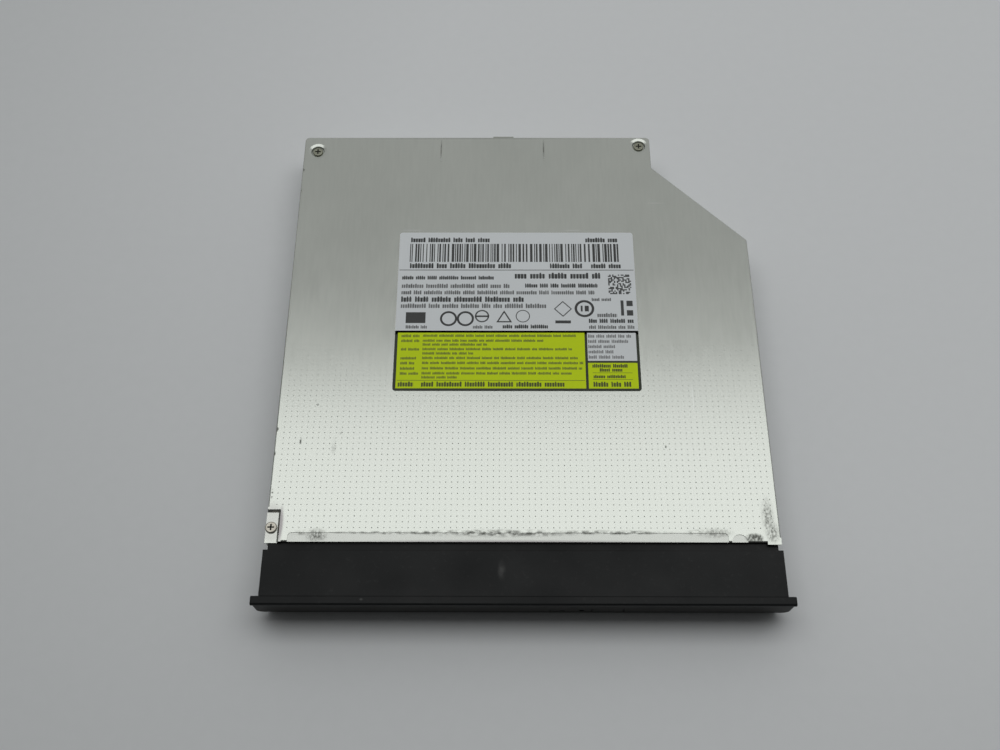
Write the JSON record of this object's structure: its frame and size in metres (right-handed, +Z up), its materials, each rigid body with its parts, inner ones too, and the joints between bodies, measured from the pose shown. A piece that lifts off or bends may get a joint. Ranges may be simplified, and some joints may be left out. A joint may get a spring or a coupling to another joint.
{
  "type": "laptop disc drive",
  "caption": "Slim tray-loading optical disc drive for a laptop: flat steel case with one cut corner, deep black front bezel and a sliding disc tray.",
  "frame": {"origin": "middle of the case's width and depth, on the underside of the pan", "axes": "+X to the right seen from the front, +Y from the bezel to the rear, +Z up through the labelled cover"},
  "size_m": [0.1322, 0.1421, 0.0128],
  "materials": {
    "bezel_black": "fine matt texture, lightly scuffed",
    "board_green": "glass-fibre board with green solder mask",
    "chassis_steel": "pressed steel",
    "chip_black": "moulded epoxy",
    "clear_plastic": "clear moulding",
    "coil_copper": "enamelled copper winding",
    "connector_black": "moulded",
    "connector_cream": "moulded",
    "cover_steel": "matt galvanised sheet with fine embossed dots",
    "damper_rubber": "soft matt",
    "guide_white": "acetal, satin",
    "holder_black": "liquid-crystal polymer",
    "label_paper": null,
    "lens_glass": "coated moulded glass",
    "magnet_nickel": "plated magnet",
    "motor_can": "drawn steel can",
    "pan_steel": "galvanised sheet",
    "rail_steel": "bright steel",
    "ribbon": "flat flexible cable",
    "rod_steel": "ground bright",
    "screw_nickel": "nickel-plated",
    "sled_alloy": "die-cast, grey",
    "tray_black": "fine spark-eroded texture",
    "trim_black": "matt black coat"
  },
  "bodies": {
    "case": {"upper_case": "cover_steel", "lower_case": "pan_steel", "cover_screws": "screw_nickel", "cover_posts": "pan_steel", "label_sheet": "label_paper", "left_rail_guide": "guide_white", "right_rail_guide": "guide_white", "interface_board": "board_green", "board_screws": "screw_nickel", "board_chips": "chip_black", "sata_connector": "connector_black", "cable_socket": "connector_cream", "flex_cable": "ribbon", "latch_pin": "rail_steel"},
    "left_rail": {"left_rail": "rail_steel"},
    "right_rail": {"right_rail": "rail_steel"},
    "tray": {"tray_frame": "tray_black", "front_bezel": "bezel_black", "indicator_light_pipe": "clear_plastic", "control_board": "board_green", "control_board_posts": "tray_black", "control_chips": "chip_black", "eject_switch": "connector_black", "latch_solenoid": "coil_copper", "latch_pivot": "tray_black", "traverse_chassis": "chassis_steel", "main_guide_rod": "rod_steel", "second_guide_rod": "rod_steel", "damper_bushes": "damper_rubber", "chassis_screws": "screw_nickel", "feed_motor": "motor_can", "feed_bracket": "chassis_steel", "trim_plate": "trim_black", "spindle_base": "chassis_steel", "spindle_stator": "coil_copper"},
    "eject_button": {"eject_button": "bezel_black"},
    "latch": {"latch_lever": "guide_white"},
    "lead_screw": {"lead_screw": "rod_steel"},
    "pickup": {"pickup_body": "sled_alloy", "rack_follower": "guide_white", "laser_diode": "screw_nickel", "lens_magnets": "magnet_nickel"},
    "lens": {"lens_holder": "holder_black", "objective_lens": "lens_glass"},
    "spindle": {"spindle_rotor": "motor_can", "turntable_hub": "tray_black", "rubber_ring": "damper_rubber"},
    "claw_1": {"hub_claw_1": "guide_white"},
    "claw_2": {"hub_claw_2": "guide_white"},
    "claw_3": {"hub_claw_3": "guide_white"}
  },
  "joints": [
    {"name": "tray_slide", "type": "slide", "parent": "case", "child": "tray", "axis": [0, -1, 0], "range_m": [0, 0.124], "deforming": ["flex_cable"]},
    {"name": "left_rail_slide", "type": "slide", "parent": "case", "child": "left_rail", "axis": [0, -1, 0], "range_m": [0, 0.062]},
    {"name": "right_rail_slide", "type": "slide", "parent": "case", "child": "right_rail", "axis": [0, -1, 0], "range_m": [0, 0.062]},
    {"name": "eject_button_press", "type": "slide", "parent": "tray", "child": "eject_button", "axis": [0, 1, 0], "range_m": [0, 0.0006], "stiffness_N_per_m": 800},
    {"name": "latch_turn", "type": "hinge", "parent": "tray", "child": "latch", "pos_m": [0.031, -0.0573, 0.0034], "axis": [0, 0, 1], "range_deg": [0, 15], "stiffness_Nm_per_rad": 0.002},
    {"name": "pickup_slide", "type": "slide", "parent": "tray", "child": "pickup", "axis": [-0.7071, -0.7071, 0], "range_m": [0, 0.034]},
    {"name": "lead_screw_turn", "type": "hinge", "parent": "tray", "child": "lead_screw", "pos_m": [0.00141, -0.03308, 0.0046], "axis": [-0.7071, -0.7071, 0], "range_deg": [0, 4085]},
    {"name": "lens_focus", "type": "slide", "parent": "pickup", "child": "lens", "axis": [0, 0, 1], "range_m": [-0.0005, 0.0007], "stiffness_N_per_m": 120},
    {"name": "disc_spin", "type": "hinge", "parent": "tray", "child": "spindle", "pos_m": [0, -0.00055, 0.0073], "axis": [0, 0, 1], "continuous": true},
    {"name": "claw_1_press", "type": "slide", "parent": "spindle", "child": "claw_1", "axis": [0.7071, 0.7071, 0], "range_m": [0, 0.0006], "stiffness_N_per_m": 60},
    {"name": "claw_2_press", "type": "slide", "parent": "spindle", "child": "claw_2", "axis": [-0.9659, 0.2588, 0], "range_m": [0, 0.0006], "stiffness_N_per_m": 60},
    {"name": "claw_3_press", "type": "slide", "parent": "spindle", "child": "claw_3", "axis": [0.2588, -0.9659, 0], "range_m": [0, 0.0006], "stiffness_N_per_m": 60}
  ],
  "couplings": [
    {"joint": "left_rail_slide", "follows": "tray_slide", "ratio": 0.5},
    {"joint": "right_rail_slide", "follows": "tray_slide", "ratio": 0.5},
    {"joint": "lead_screw_turn", "follows": "pickup_slide", "rad_per_m": 2094.4}
  ]
}
